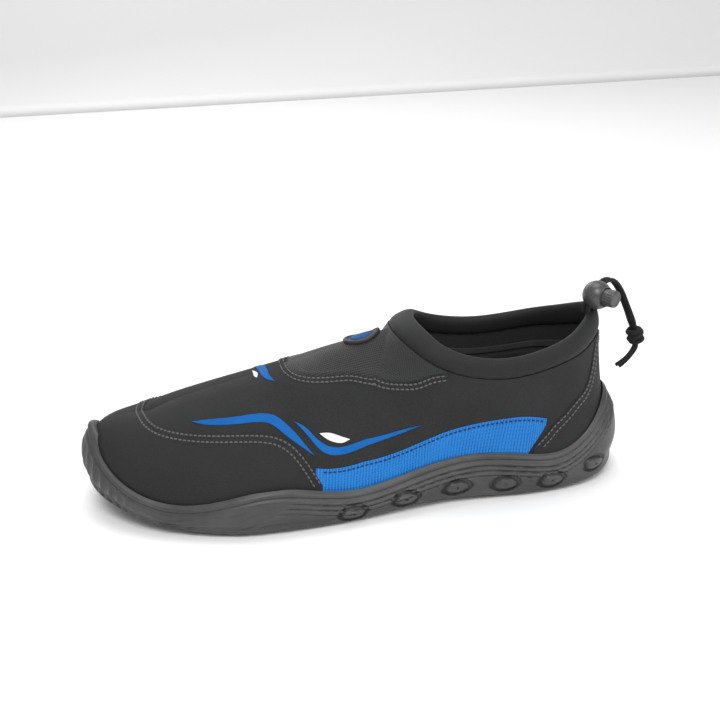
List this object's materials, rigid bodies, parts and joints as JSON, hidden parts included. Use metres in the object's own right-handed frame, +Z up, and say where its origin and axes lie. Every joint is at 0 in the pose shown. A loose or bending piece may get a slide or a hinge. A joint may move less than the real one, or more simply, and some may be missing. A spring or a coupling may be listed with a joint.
{
  "type": "water shoe",
  "caption": "Low slip-on water shoe for the left foot: hollow neoprene upper with padded collar, push-button cord lock and a wrapped rubber sole with grooved tread.",
  "frame": {"origin": "on the ground under the middle of the shoe's bounding box, the loose drawcord left out", "axes": "+X towards the toe, +Y towards the outer side of the left foot, +Z up"},
  "size_m": [0.299, 0.1042, 0.1046],
  "materials": {
    "sole_rubber": "matte moulded rubber",
    "footbed_foam": "fabric-topped foam",
    "neoprene": "knitted neoprene",
    "collar_binding": "stretch binding over foam",
    "synthetic_overlay": "synthetic leather, fine grain",
    "blue_mesh": "open knit mesh",
    "badge_rubber": "soft moulded rubber",
    "lock_plastic": "satin black plastic",
    "cord": "braided elastic cord"
  },
  "bodies": {
    "shoe": {"outsole": "sole_rubber", "insole": "footbed_foam", "upper": "neoprene", "collar_roll": "collar_binding", "toe_cap": "synthetic_overlay", "heel_counter": "synthetic_overlay", "side_panel_lateral": "blue_mesh", "side_panel_medial": "blue_mesh", "instep_badge": "badge_rubber", "lock_body": "lock_plastic", "drawcord_a": "cord", "drawcord_b": "cord", "drawcord_knot": "cord", "drawcord_end_a": "cord", "drawcord_end_b": "cord"},
    "button": {"lock_button": "lock_plastic"}
  },
  "joints": [
    {"name": "button_press", "type": "slide", "parent": "shoe", "child": "button", "axis": [0.5708, -0.8211, 0], "range_m": [0, 0.003], "stiffness_N_per_m": 400, "springref_m": -0.002}
  ]
}
